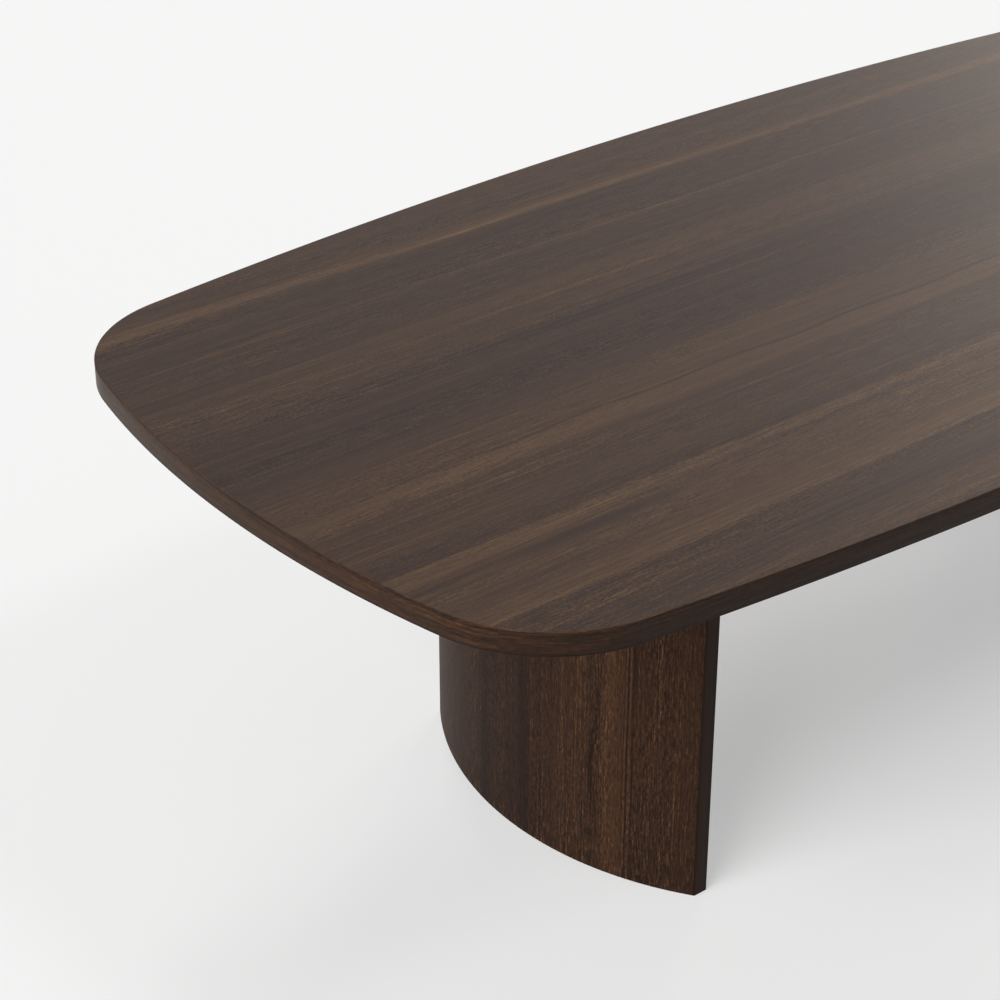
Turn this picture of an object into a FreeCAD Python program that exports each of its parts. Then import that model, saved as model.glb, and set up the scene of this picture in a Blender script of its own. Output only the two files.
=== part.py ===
import FreeCAD, Part
import math
import os
import re

import Sketcher

# A dining table: a bowed, veneered top on two curved panel legs.
# Millimetres, +Z up, +X along the table, origin on the floor under the middle of the top.
# The front is -Y. Each leg is drawn about the axis of its own curve, bulging to -X, and then placed.

SIZES = {
    # top
    "table_height": 740,
    "top_length": 2438,
    "top_width": 1222,
    "top_thickness": 34,
    "side_radius": 7990,
    "end_radius": 1779,
    "corner_radius": 214,
    "face_veneer": 1,
    "underside_veneer": 1,
    "edge_band": 2,
    "band_glue_line": 0.1,
    "band_seam_angle": 34.1,
    # stiffener rails let into the underside
    "rail_length": 1900,
    "rail_width": 60,
    "rail_depth": 15,
    "rail_wall": 3,
    "rail_offset": 380,
    "rail_clearance": 0.25,
    "rail_screw_end_distance": 70,
    "rail_screw_diameter": 6,
    "rail_screw_bite": 14,
    "rail_screw_head_diameter": 12,
    "rail_screw_head_height": 3,
    # legs
    "leg_reach": 755,
    "leg_outer_radius": 522.6,
    "leg_thickness": 19,
    "leg_width": 610,
    "leg_veneer": 1,
    "leg_end_band": 2,
    "foot_reveal": 1,
    # cleat and its screws
    "cleat_end_distance": 105,
    "cleat_depth": 45,
    "cleat_height": 40,
    "cleat_screw_diameter": 5,
    "cleat_screw_bite": 10,
    "cleat_screw_head_diameter": 10,
    "cleat_screw_head_height": 3,
    # bolts from the cleat into the top
    "bolt_end_distance": 45,
    "bolt_diameter": 8,
    "bolt_engagement": 15,
    "bolt_head_diameter": 14,
    "bolt_head_height": 4.4,
    "bolt_key_size": 5,
    "bolt_key_depth": 2.6,
    "bolt_clearance": 0.5,
    "thread_clearance": 0.05,
    "flat_washer_diameter": 16,
    "flat_washer_height": 1.6,
    "spring_washer_diameter": 14.8,
    "spring_washer_height": 2,
    "washer_clearance": 0.2,
    "insert_diameter": 12,
    "insert_length": 18,
    # dowels between leg and top
    "dowel_end_distance": 64,
    "dowel_diameter": 10,
    "dowel_depth": 20,
    "dowel_end_clearance": 0.5,
    # levellers
    "leveller_end_distance": 48.5,
    "leveller_travel": 8,
    "pad_diameter": 14,
    "pad_thickness": 4,
    "pad_floor": 1.2,
    "pad_clearance": 0.4,
    "pad_key_hole": 4.4,
    "stem_diameter": 6,
    "stem_flange_diameter": 9,
    "stem_flange_height": 1.5,
    "stem_key_size": 3,
    "stem_key_depth": 3,
    "stem_clearance": 0.08,
    "stem_end_clearance": 2,
    "leveller_insert_diameter": 10,
    "leveller_insert_length": 16,
}

SHEET = "sizes"
# along a cleat the bolts stand at odd steps and the screws at the even steps between them
BOLT_STEPS = (-3, -1, 1, 3)
CLEAT_SCREW_STEPS = (-2, 0, 2)
DOWEL_STEPS = (-1, 1)
LEVELLER_STEPS = (-1, 0, 1)
RAIL_SCREW_STEPS = (-2, -1, 0, 1, 2)
RAILS = (("front", "-rail_offset"), ("back", "rail_offset"))
# each leg's name, its turn about the vertical, and the names of its ends from -Y to +Y in its own frame
LEGS = (("left", 0, ("front", "middle", "back")), ("right", 180, ("back", "middle", "front")))

# places that several pieces share
UNDERSIDE = "(table_height - top_thickness)"
LEG_HEIGHT = f"({UNDERSIDE} - foot_reveal)"
LEG_AXIS = "(leg_reach - leg_outer_radius)"
LEG_INNER_RADIUS = "(leg_outer_radius - leg_thickness)"
LEG_MIDDLE_RADIUS = "(leg_outer_radius - leg_thickness / 2)"
CLEAT_INNER_RADIUS = f"({LEG_INNER_RADIUS} - cleat_depth)"
BOLT_CIRCLE = f"({LEG_INNER_RADIUS} - cleat_depth / 2)"
CLEAT_BOTTOM = f"({UNDERSIDE} - cleat_height)"
CLEAT_HALF_WIDTH = "(leg_width / 2 - cleat_end_distance)"
# the angle round the leg's axis from one step to the next
BOLT_STEP = f"asin(({CLEAT_HALF_WIDTH} - bolt_end_distance) / {BOLT_CIRCLE}) / {max(BOLT_STEPS)}"
DOWEL_STEP = f"asin((leg_width / 2 - dowel_end_distance) / {LEG_MIDDLE_RADIUS})"
LEVELLER_STEP = f"asin((leg_width / 2 - leveller_end_distance) / {LEG_MIDDLE_RADIUS})"
RAIL_SCREW_STEP = f"((rail_length / 2 - rail_screw_end_distance) / {max(RAIL_SCREW_STEPS)})"
CORE_INSET = "(edge_band + band_glue_line)"
WASHER_STACK = "(flat_washer_height + spring_washer_height)"
PAD_RECESS_TOP = "(pad_thickness + pad_clearance)"
PAD_RECESS_DIAMETER = "(pad_diameter + 2 * pad_clearance)"
FLANGE_BOTTOM = "(pad_floor + stem_clearance)"
# a stem reaches past its insert by its travel, so it stays fully held when it is screwed out
STEM_LENGTH = f"({PAD_RECESS_TOP} + leveller_insert_length + leveller_travel - {FLANGE_BOTTOM})"
# how far the centres of the top's shallow arcs lie past the middle
SIDE_CENTRE = "(side_radius - top_width / 2)"
END_CENTRE = "(end_radius - top_length / 2)"
# a corner's centre is where circles about the centres of its side and its end cross
TO_SIDE = "(side_radius - corner_radius)"
TO_END = "(end_radius - corner_radius)"
APART = f"sqrt({SIDE_CENTRE}^2 + {END_CENTRE}^2)"
SIDE_TANGENT = (
    f"(atan2({SIDE_CENTRE}; -{END_CENTRE})"
    f" - acos(({TO_SIDE}^2 + {APART}^2 - {TO_END}^2) / (2 * {TO_SIDE} * {APART})))"
)
CORNER_X = f"({TO_SIDE} * cos({SIDE_TANGENT}))"
CORNER_Y = f"({TO_SIDE} * sin({SIDE_TANGENT}) - {SIDE_CENTRE})"
END_TANGENT = f"atan2({CORNER_Y}; {CORNER_X} + {END_CENTRE})"

doc = FreeCAD.newDocument("dining_table")
sheet = doc.addObject("Spreadsheet::Sheet", SHEET)
for row, (size_name, size) in enumerate(SIZES.items(), start=1):
    sheet.set(f"A{row}", size_name)
    sheet.set(f"B{row}", str(size))
    sheet.setAlias(f"B{row}", size_name)
doc.recompute()


def formula(text):
    """The text as an expression, with each size's name read from the sheet."""
    return re.sub(r"[a-z_]+", lambda word: f"{SHEET}.{word[0]}" if word[0] in SIZES else word[0], str(text))


def value(text):
    """What the formula comes to now, in millimetres or degrees."""
    return float(sheet.evalExpression(formula(text)))


def bind(thing, sizes):
    """Ties properties of a document object to formulas."""
    for path, text in sizes.items():
        thing.setExpression(path, formula(text))


def place(thing, x=0, y=0, z=0):
    bind(thing, {"Placement.Base.x": x, "Placement.Base.y": y, "Placement.Base.z": z})
    return thing


def polar(thing, radius, angle, z=0):
    """Stands a piece at an angle round the leg's axis, measured from -X towards -Y for negative angles."""
    return place(thing, f"-{radius} * cos({angle})", f"{radius} * sin({angle})", z)


# solids

def cylinder(name, diameter, height):
    solid = doc.addObject("Part::Cylinder", name)
    bind(solid, {"Radius": f"({diameter}) / 2", "Height": height})
    return solid


def hexagon(name, across_flats, height):
    solid = doc.addObject("Part::Prism", name)
    solid.Polygon = 6
    bind(solid, {"Circumradius": f"({across_flats}) / sqrt(3)", "Height": height})
    return solid


def fuse(name, solids):
    joined = doc.addObject("Part::MultiFuse", name)
    joined.Shapes = solids
    return joined


def group(name, solids):
    together = doc.addObject("Part::Compound", name)
    together.Links = solids
    return together


def cut(name, base, tool):
    rest = doc.addObject("Part::Cut", name)
    rest.Base = base
    rest.Tool = tool
    return rest


def tube(name, outer, inner, height):
    """A round piece with a bore right through."""
    return cut(name, cylinder(f"{name}_outside", outer, height), cylinder(f"{name}_bore", inner, height))


# sketches and pads

def sketch_in(body, role):
    plane = [p for p in body.Origin.OriginFeatures if p.Role == role][0]
    drawing = body.newObject("Sketcher::SketchObject", f"{body.Name}_sketch")
    drawing.AttachmentSupport = [(plane, "")]
    drawing.MapMode = "FlatFace"
    return drawing


def constrain(drawing, *constraint, size=None):
    """Adds a constraint, tied to a formula where it has a size."""
    if size is None:
        return drawing.addConstraint(Sketcher.Constraint(*constraint))
    number = drawing.addConstraint(Sketcher.Constraint(*constraint, value(size)))
    drawing.setExpression(f"Constraints[{number}]", formula(size))
    return number


def set_point(drawing, edge, end, x=None, y=None):
    """Holds the end of an edge at a place from the origin, with each distance counted as positive."""
    for kind, text in (("DistanceX", x), ("DistanceY", y)):
        if text is None:
            continue
        if value(text) >= 0:
            constrain(drawing, kind, -1, 1, edge, end, size=text)
        else:
            constrain(drawing, kind, edge, end, -1, 1, size=f"-({text})")


def pad(body, drawing, length):
    doc.recompute()
    feature = body.newObject("PartDesign::Pad", f"{body.Name}_pad")
    feature.Profile = drawing
    bind(feature, {"Length": length})
    doc.recompute()
    return feature


def top_slab(name, inset, bottom, thickness):
    """A slab of the top's outline, moved in by an inset: shallow arcs joined by tangent corners."""
    body = doc.addObject("PartDesign::Body", name)
    drawing = sketch_in(body, "XY_Plane")
    side_centre = value(SIDE_CENTRE)
    end_centre = value(END_CENTRE)
    corner_x = value(CORNER_X)
    corner_y = value(CORNER_Y)
    steep = math.radians(value(SIDE_TANGENT))
    shallow = math.radians(value(END_TANGENT))
    half_turn = math.pi
    whole_turn = 2 * math.pi
    arcs = (
        ("end_radius", (-end_centre, 0), -shallow, shallow),
        ("corner_radius", (corner_x, corner_y), shallow, steep),
        ("side_radius", (0, -side_centre), steep, half_turn - steep),
        ("corner_radius", (-corner_x, corner_y), half_turn - steep, half_turn - shallow),
        ("end_radius", (end_centre, 0), half_turn - shallow, half_turn + shallow),
        ("corner_radius", (-corner_x, -corner_y), half_turn + shallow, half_turn + steep),
        ("side_radius", (0, side_centre), half_turn + steep, whole_turn - steep),
        ("corner_radius", (corner_x, -corner_y), whole_turn - steep, whole_turn - shallow),
    )
    edges = []
    for radius, (x, y), start, stop in arcs:
        upward = FreeCAD.Vector(0, 0, 1)
        circle = Part.Circle(FreeCAD.Vector(x, y, 0), upward, value(f"{radius} - {inset}"))
        edges.append(drawing.addGeometry(Part.ArcOfCircle(circle, start, stop)))
    for edge, following in zip(edges, edges[1:] + edges[:1]):
        constrain(drawing, "Tangent", edge, 2, following, 1)
    for edge, (radius, _, _, _) in zip(edges, arcs):
        constrain(drawing, "Radius", edge, size=f"{radius} - {inset}")
    set_point(drawing, edges[0], 3, x=f"-{END_CENTRE}", y="0")
    set_point(drawing, edges[2], 3, x="0", y=f"-{SIDE_CENTRE}")
    set_point(drawing, edges[4], 3, x=END_CENTRE, y="0")
    set_point(drawing, edges[6], 3, x="0", y=SIDE_CENTRE)
    pad(body, drawing, thickness)
    return place(body, z=bottom)


def polygon(drawing, corners):
    """Draws a closed outline with each corner held at its place."""
    points = [FreeCAD.Vector(value(x), value(y), 0) for x, y in corners]
    edges = [drawing.addGeometry(Part.LineSegment(*pair)) for pair in zip(points, points[1:] + points[:1])]
    for edge, following in zip(edges, edges[1:] + edges[:1]):
        constrain(drawing, "Coincident", edge, 2, following, 1)
    for edge, (x, y) in zip(edges, corners):
        set_point(drawing, edge, 1, x=x, y=y)


def curved_panel(name, outer, inner, low, high, bottom, height):
    """An upright curved panel about the leg's axis, cut square to the table at two distances along Y."""
    body = doc.addObject("PartDesign::Body", name)
    drawing = sketch_in(body, "XY_Plane")
    low_y = value(low)
    high_y = value(high)

    def arc(radius):
        circle = Part.Circle(FreeCAD.Vector(0, 0, 0), FreeCAD.Vector(0, 0, 1), radius)
        start = math.pi - math.asin(high_y / radius)
        return drawing.addGeometry(Part.ArcOfCircle(circle, start, math.pi - math.asin(low_y / radius)))

    def line(from_radius, to_radius, y):
        ends = [FreeCAD.Vector(-math.sqrt(r**2 - y**2), y, 0) for r in (from_radius, to_radius)]
        return drawing.addGeometry(Part.LineSegment(*ends))

    outside = arc(value(outer))
    inside = arc(value(inner))
    low_end = line(value(outer), value(inner), low_y)
    high_end = line(value(outer), value(inner), high_y)
    for edge, radius in ((outside, outer), (inside, inner)):
        constrain(drawing, "Coincident", edge, 3, -1, 1)
        constrain(drawing, "Radius", edge, size=radius)
        constrain(drawing, "Coincident", edge, 1, high_end, 1 if edge == outside else 2)
        constrain(drawing, "Coincident", edge, 2, low_end, 1 if edge == outside else 2)
    for edge, y in ((low_end, low), (high_end, high)):
        constrain(drawing, "Horizontal", edge)
        set_point(drawing, edge, 1, y=y)
    pad(body, drawing, height)
    return place(body, z=bottom)


def rail_profile(name, clearance):
    """A channel along X, web down and flanges up, or with a clearance the groove that takes it."""
    body = doc.addObject("PartDesign::Body", name)
    drawing = sketch_in(body, "YZ_Plane")
    half = f"(rail_width / 2 + {clearance})"
    tongue = f"(rail_width / 2 - rail_wall - {clearance})"
    tip = f"(rail_depth + {clearance})"
    outline = (
        (f"-{half}", "0"),
        (half, "0"),
        (half, tip),
        (tongue, tip),
        (tongue, "rail_wall"),
        (f"-{tongue}", "rail_wall"),
        (f"-{tongue}", tip),
        (f"-{half}", tip),
    )
    polygon(drawing, outline)
    length = f"(rail_length + 2 * {clearance})"
    pad(body, drawing, length)
    return place(body, x=f"-{length} / 2", z=UNDERSIDE)


nodes = {}


def at_leg(thing, side, turn):
    """Turns a piece drawn about a leg's axis and puts it at its leg, at the height it has."""
    thing.Placement.Rotation = FreeCAD.Rotation(FreeCAD.Vector(0, 0, 1), turn)
    bind(thing, {"Placement.Base.x": f"-{LEG_AXIS}" if side == "left" else LEG_AXIS})
    return thing


def keep(name, thing, leg=None):
    """Names a finished piece and, for a leg's piece, puts it at its leg."""
    thing.Label = name
    nodes[name] = thing
    return at_leg(thing, *leg) if leg else thing


# holes that a leg's fasteners need in the top, as tools in the leg's own frame

def holes_in_top(side):
    drills = []
    for step in BOLT_STEPS:
        drill = cylinder(f"{side}_insert_hole", "insert_diameter", "insert_length")
        drills.append(polar(drill, BOLT_CIRCLE, f"{step} * {BOLT_STEP}", UNDERSIDE))
    for step in DOWEL_STEPS:
        drill = cylinder(f"{side}_dowel_hole", "dowel_diameter", "dowel_depth + dowel_end_clearance")
        drills.append(polar(drill, LEG_MIDDLE_RADIUS, f"{step} * {DOWEL_STEP}", UNDERSIDE))
    return drills


# the top

def rail_screw(name):
    """A pan-head screw up through a rail's web into the core."""
    head = place(
        cylinder(f"{name}_head", "rail_screw_head_diameter", "rail_screw_head_height"),
        z=f"{UNDERSIDE} - rail_screw_head_height",
    )
    shank = cylinder(f"{name}_shank", "rail_screw_diameter", "rail_wall + rail_screw_bite")
    place(shank, z=UNDERSIDE)
    return fuse(name, [head, shank])


def rail_holes(name):
    drills = []
    for step in RAIL_SCREW_STEPS:
        drill = cylinder(f"{name}_screw_hole", "rail_screw_diameter", "rail_wall + rail_screw_bite")
        drills.append(place(drill, x=f"{step} * {RAIL_SCREW_STEP}", z=UNDERSIDE))
    return drills


top_tools = []
underside_tools = []
for side, turn, _ in LEGS:
    top_tools.append(at_leg(group(f"{side}_holes_in_core", holes_in_top(side)), side, turn))
    underside_tools.append(at_leg(group(f"{side}_holes_in_veneer", holes_in_top(side)), side, turn))
for rail, offset in RAILS:
    for tools in (top_tools, underside_tools):
        channel = rail_profile(f"{rail}_groove", "rail_clearance")
        groove = fuse(f"{rail}_rail_groove", [channel] + rail_holes(rail))
        tools.append(place(groove, y=offset))

core_thickness = "(top_thickness - face_veneer - underside_veneer)"
core_slab = top_slab("core_slab", CORE_INSET, f"{UNDERSIDE} + underside_veneer", core_thickness)
keep("top_core", cut("top_core_cut", core_slab, group("core_tools", top_tools)))
keep("top_face_veneer", top_slab("face_slab", CORE_INSET, "table_height - face_veneer", "face_veneer"))
underside_slab = top_slab("underside_slab", CORE_INSET, UNDERSIDE, "underside_veneer")
keep("top_underside_veneer", cut("underside_cut", underside_slab, group("underside_tools", underside_tools)))


def band_strip(name, corners):
    """The part of the edge band between two corners, parted along lines out of the corners' centres."""
    whole = top_slab(f"{name}_whole", "0", UNDERSIDE, "top_thickness")
    inner = top_slab(f"{name}_inner", "edge_band", UNDERSIDE, "top_thickness")
    ring = cut(f"{name}_ring", whole, inner)
    body = doc.addObject("PartDesign::Body", f"{name}_slice")
    drawing = sketch_in(body, "XY_Plane")
    centres = [(f"{x} * {CORNER_X}", f"{y} * {CORNER_Y}") for x, y in corners]
    reach = "top_width"
    seam = "band_seam_angle * 1 deg"
    out_x = f"({CORNER_X} + {reach} * cos({seam}))"
    out_y = f"({CORNER_Y} + {reach} * sin({seam}))"
    ends = [(f"{x} * {out_x}", f"{y} * {out_y}") for x, y in corners]
    polygon(drawing, centres + ends[::-1])
    pad(body, drawing, "top_thickness")
    strip = doc.addObject("Part::Common", f"{name}_strip")
    strip.Base = ring
    strip.Tool = place(body, z=UNDERSIDE)
    return keep(name, strip)


# each strip's two corners, by their signs along X and Y
for band, corners in (
    ("right_edge_band", ((1, -1), (1, 1))),
    ("back_edge_band", ((1, 1), (-1, 1))),
    ("left_edge_band", ((-1, 1), (-1, -1))),
    ("front_edge_band", ((-1, -1), (1, -1))),
):
    band_strip(band, corners)

for rail, offset in RAILS:
    channel = rail_profile(f"{rail}_channel", "0")
    drilled = cut(f"{rail}_drilled_rail", channel, group(f"{rail}_rail_drills", rail_holes(f"{rail}_rail")))
    keep(f"{rail}_stiffener_rail", place(drilled, y=offset))
    screws = []
    for step in RAIL_SCREW_STEPS:
        screws.append(place(rail_screw(f"{rail}_rail_screw"), x=f"{step} * {RAIL_SCREW_STEP}"))
    keep(f"{rail}_rail_screws", place(group(f"{rail}_rail_screw_group", screws), y=offset))


# the legs

def leg_panels(side, turn, ends):
    """The curved panel in layers, banded at its two ends, and drilled for dowels, screws and levellers."""
    at = (side, turn)
    half = "(leg_width / 2 - leg_end_band)"
    core_outer = "(leg_outer_radius - leg_veneer)"
    core_inner = f"({LEG_INNER_RADIUS} + leg_veneer)"
    layers = (
        ("outer_veneer", "leg_outer_radius", core_outer),
        ("core", core_outer, core_inner),
        ("inner_veneer", core_inner, LEG_INNER_RADIUS),
    )
    for layer, outer, inner in layers:
        name = f"{side}_leg_{layer}"
        panel = curved_panel(f"{name}_panel", outer, inner, f"-{half}", half, "foot_reveal", LEG_HEIGHT)
        if layer == "core":
            panel = cut(f"{name}_cut", panel, fuse(f"{name}_tools", leg_core_drills(side)))
        if layer == "inner_veneer":
            panel = cut(f"{name}_cut", panel, group(f"{name}_tools", cleat_screw_drills(f"{side}_veneer")))
        keep(name, panel, at)
    for end, low, high in ((ends[0], "-leg_width / 2", f"-{half}"), (ends[2], half, "leg_width / 2")):
        name = f"{side}_leg_{end}_end_band"
        band = curved_panel(
            f"{name}_panel", "leg_outer_radius", LEG_INNER_RADIUS, low, high, "foot_reveal", LEG_HEIGHT
        )
        keep(name, band, at)


def leg_core_drills(side):
    drills = cleat_screw_drills(f"{side}_core")
    for step in DOWEL_STEPS:
        depth = "(dowel_depth + dowel_end_clearance)"
        drill = cylinder(f"{side}_leg_dowel_hole", "dowel_diameter", depth)
        drills.append(polar(drill, LEG_MIDDLE_RADIUS, f"{step} * {DOWEL_STEP}", f"{UNDERSIDE} - {depth}"))
    for step in LEVELLER_STEPS:
        angle = f"{step} * {LEVELLER_STEP}"
        recess = cylinder(f"{side}_pad_recess", PAD_RECESS_DIAMETER, PAD_RECESS_TOP)
        insert = cylinder(f"{side}_leveller_hole", "leveller_insert_diameter", "leveller_insert_length")
        bore = "stem_diameter + 2 * stem_clearance"
        above = cylinder(f"{side}_stem_hole", bore, f"{STEM_LENGTH} + stem_end_clearance")
        drills.append(polar(recess, LEG_MIDDLE_RADIUS, angle))
        drills.append(polar(insert, LEG_MIDDLE_RADIUS, angle, PAD_RECESS_TOP))
        drills.append(polar(above, LEG_MIDDLE_RADIUS, angle, FLANGE_BOTTOM))
    return drills


def radial(name, solid, step):
    """Lays a piece that stands on the leg's axis along the leg's radius, at mid height of the cleat."""
    solid.Placement.Rotation = FreeCAD.Rotation(FreeCAD.Vector(0, 1, 0), -90)
    place(solid, x=f"-{CLEAT_INNER_RADIUS}", z=f"{CLEAT_BOTTOM} + cleat_height / 2")
    turned = group(name, [solid])
    turned.Placement.Rotation = FreeCAD.Rotation(FreeCAD.Vector(0, 0, 1), 1)
    bind(turned, {"Placement.Rotation.Angle": f"{step} * {BOLT_STEP}"})
    return turned


def cleat_screw_solid(name):
    """A screw standing on its head, which is let into the cleat."""
    head = cylinder(f"{name}_head", "cleat_screw_head_diameter", "cleat_screw_head_height")
    shank = cylinder(f"{name}_shank", "cleat_screw_diameter", "cleat_depth + cleat_screw_bite")
    return fuse(name, [head, shank])


def cleat_screw_drills(name):
    drills = []
    for step in CLEAT_SCREW_STEPS:
        drills.append(radial(f"{name}_screw_drill", cleat_screw_solid(f"{name}_drill"), step))
    return drills


def leg_cleat(side, turn):
    """The curved block inside the top of the leg, with its screws, and the bolts that hold it to the top."""
    at = (side, turn)
    ends = (f"-{CLEAT_HALF_WIDTH}", CLEAT_HALF_WIDTH)
    block = curved_panel(
        f"{side}_cleat_block", LEG_INNER_RADIUS, CLEAT_INNER_RADIUS, *ends, CLEAT_BOTTOM, "cleat_height"
    )
    drills = cleat_screw_drills(f"{side}_cleat")
    for step in BOLT_STEPS:
        drill = cylinder(f"{side}_bolt_hole", "bolt_diameter + 2 * bolt_clearance", "cleat_height")
        drills.append(polar(drill, BOLT_CIRCLE, f"{step} * {BOLT_STEP}", CLEAT_BOTTOM))
    keep(f"{side}_leg_cleat", cut(f"{side}_cleat_cut", block, group(f"{side}_cleat_tools", drills)), at)
    keep(f"{side}_cleat_screws", group(f"{side}_cleat_screw_group", cleat_screw_drills(f"{side}_screw")), at)


def bolt(name):
    """A button-head bolt standing on its head, with a hexagon key socket under the head."""
    head = cylinder(f"{name}_head", "bolt_head_diameter", "bolt_head_height")
    shank_length = f"(bolt_head_height + {WASHER_STACK} + cleat_height + bolt_engagement)"
    shank = cylinder(f"{name}_shank", "bolt_diameter", shank_length)
    socket = hexagon(f"{name}_socket", "bolt_key_size", "bolt_key_depth")
    return cut(name, fuse(f"{name}_solid", [head, shank]), socket)


def washer(name, diameter, height):
    return tube(name, diameter, "bolt_diameter + 2 * washer_clearance", height)


def top_insert(name):
    return tube(name, "insert_diameter", "bolt_diameter + 2 * thread_clearance", "insert_length")


def leg_fasteners(side, turn):
    at = (side, turn)
    spring_top = f"({CLEAT_BOTTOM} - flat_washer_height)"
    kinds = (
        ("bolts", bolt, (), f"{CLEAT_BOTTOM} - {WASHER_STACK} - bolt_head_height"),
        ("flat_washers", washer, ("flat_washer_diameter", "flat_washer_height"), spring_top),
        (
            "spring_washers",
            washer,
            ("spring_washer_diameter", "spring_washer_height"),
            f"{CLEAT_BOTTOM} - {WASHER_STACK}",
        ),
        ("top_inserts", top_insert, (), UNDERSIDE),
    )
    for kind, make, sizes, bottom in kinds:
        name = f"{side}_leg_{kind}"
        copies = []
        for step in BOLT_STEPS:
            copies.append(polar(make(f"{name}_one", *sizes), BOLT_CIRCLE, f"{step} * {BOLT_STEP}", bottom))
        keep(name, group(f"{name}_group", copies), at)
    dowels = []
    for step in DOWEL_STEPS:
        dowel = cylinder(f"{side}_dowel", "dowel_diameter", "2 * dowel_depth")
        dowels.append(polar(dowel, LEG_MIDDLE_RADIUS, f"{step} * {DOWEL_STEP}", f"{UNDERSIDE} - dowel_depth"))
    keep(f"{side}_leg_dowels", group(f"{side}_dowel_group", dowels), at)


def leveller_insert(name):
    bore = "stem_diameter + 2 * thread_clearance"
    return tube(name, "leveller_insert_diameter", bore, "leveller_insert_length")


def glide_pad(name):
    """A round pad with a socket that holds the stem's flange and a hole below it for the key."""
    blank = cylinder(f"{name}_blank", "pad_diameter", "pad_thickness")
    socket_height = "stem_flange_height + 2 * stem_clearance"
    socket = cylinder(f"{name}_socket", "stem_flange_diameter + 2 * stem_clearance", socket_height)
    mouth = cylinder(f"{name}_mouth", "stem_diameter + 2 * stem_clearance", "pad_thickness")
    place(mouth, z="pad_floor")
    key_hole = cylinder(f"{name}_key_hole", "pad_key_hole", "pad_thickness")
    hollow = fuse(f"{name}_hollow", [place(socket, z="pad_floor"), mouth, key_hole])
    return cut(name, blank, hollow)


def leveller_stem(name):
    """A threaded stem on a round flange, with a hexagon key socket in its foot."""
    flange = cylinder(f"{name}_flange", "stem_flange_diameter", "stem_flange_height")
    shank = cylinder(f"{name}_shank", "stem_diameter", STEM_LENGTH)
    socket = hexagon(f"{name}_socket", "stem_key_size", "stem_key_depth")
    return cut(name, fuse(f"{name}_solid", [flange, shank]), socket)


def levellers(side, turn, ends):
    at = (side, turn)
    inserts = []
    for step, end in zip(LEVELLER_STEPS, ends):
        angle = f"{step} * {LEVELLER_STEP}"
        insert = leveller_insert(f"{side}_{end}_insert")
        inserts.append(polar(insert, LEG_MIDDLE_RADIUS, angle, PAD_RECESS_TOP))
        name = f"{side}_{end}_leveller"
        pad_piece = polar(glide_pad(f"{name}_pad_solid"), LEG_MIDDLE_RADIUS, angle)
        keep(f"{name}_pad", group(f"{name}_pad_place", [pad_piece]), at)
        stem_piece = polar(leveller_stem(f"{name}_stem_solid"), LEG_MIDDLE_RADIUS, angle, FLANGE_BOTTOM)
        keep(f"{name}_stem", group(f"{name}_stem_place", [stem_piece]), at)
    keep(f"{side}_leveller_inserts", group(f"{side}_leveller_insert_group", inserts), at)


for side, turn, ends in LEGS:
    leg_panels(side, turn, ends)
    leg_cleat(side, turn)
    leg_fasteners(side, turn)
    levellers(side, turn, ends)

doc.recompute()


def check_all():
    """Stops before anything is written if an object failed or a piece is empty or not valid."""
    failed = [thing.Name for thing in doc.Objects if {"Invalid", "Error"} & set(thing.State)]
    if failed:
        raise RuntimeError(f"failed objects: {failed}")
    for name, thing in nodes.items():
        shape = thing.Shape
        if shape.isNull() or not shape.isValid() or not shape.Solids:
            raise RuntimeError(f"{name} has no valid solid")


check_all()
os.makedirs("parts", exist_ok=True)
for name, thing in nodes.items():
    thing.Shape.exportStep(f"parts/{name}.step")
    box = thing.Shape.BoundBox
    print(
        f"{name}: {len(thing.Shape.Solids)} solids, {thing.Shape.Volume / 1000:.2f} cm3, "
        f"x {box.XMin:.2f} {box.XMax:.2f}, y {box.YMin:.2f} {box.YMax:.2f}, z {box.ZMin:.2f} {box.ZMax:.2f}"
    )
print(f"{len(nodes)} pieces")
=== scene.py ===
import math

import bmesh
import bpy
import numpy as np
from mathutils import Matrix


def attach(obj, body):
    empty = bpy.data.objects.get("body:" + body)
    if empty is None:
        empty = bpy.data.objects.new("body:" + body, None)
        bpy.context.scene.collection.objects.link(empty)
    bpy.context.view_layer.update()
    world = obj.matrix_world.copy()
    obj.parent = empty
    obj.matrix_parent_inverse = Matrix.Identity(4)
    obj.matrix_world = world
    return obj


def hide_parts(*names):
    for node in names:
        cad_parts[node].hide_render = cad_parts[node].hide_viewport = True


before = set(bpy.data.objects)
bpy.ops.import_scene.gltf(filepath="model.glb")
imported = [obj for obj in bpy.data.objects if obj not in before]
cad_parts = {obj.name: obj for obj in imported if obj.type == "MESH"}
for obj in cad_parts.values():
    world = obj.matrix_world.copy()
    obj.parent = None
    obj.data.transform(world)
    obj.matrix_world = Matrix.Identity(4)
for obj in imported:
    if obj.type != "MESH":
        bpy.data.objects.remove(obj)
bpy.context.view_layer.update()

# A dining table in dark smoked veneer: a bowed top with a wooden edge band on two curved panel legs.
# Metres, +Z up, +X along the table, origin on the floor under the middle of the top.

MM = 0.001

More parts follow.
